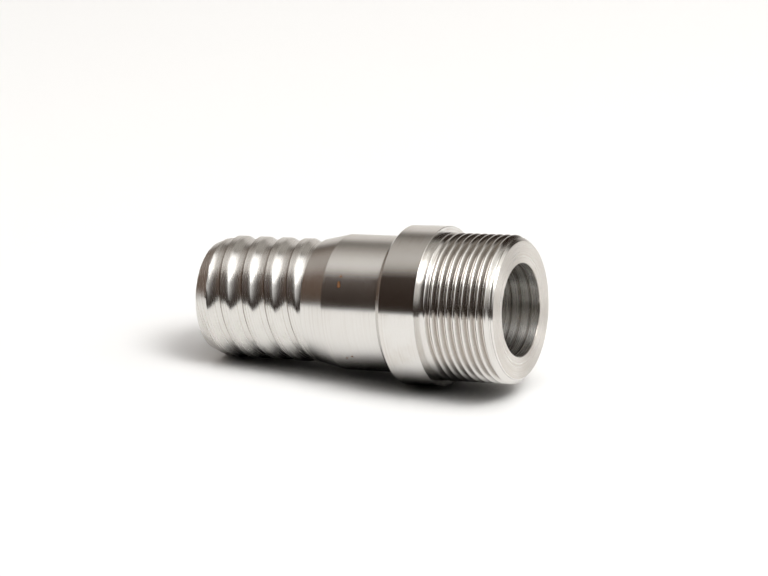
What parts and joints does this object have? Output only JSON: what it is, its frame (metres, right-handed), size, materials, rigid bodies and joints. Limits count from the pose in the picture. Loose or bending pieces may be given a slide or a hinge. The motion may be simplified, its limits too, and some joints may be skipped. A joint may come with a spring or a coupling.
{
  "type": "hose coupling",
  "caption": "Turned stainless steel hose coupling: male pipe thread, round collar, plain body, conical neck and ribbed hose tail on one through bore.",
  "frame": {"origin": "centre of the flat end face of the threaded end, on the axis of the bore", "axes": "+Z along the bore from the threaded end to the hose tail; +X is the side that is uppermost in the picture and -Y the side that faces the camera"},
  "size_m": [0.0455, 0.0456, 0.0956],
  "materials": {
    "turned_steel": "fine circumferential turning marks, bright"
  },
  "bodies": {
    "root": {"hose_coupling": "turned_steel"}
  },
  "joints": []
}
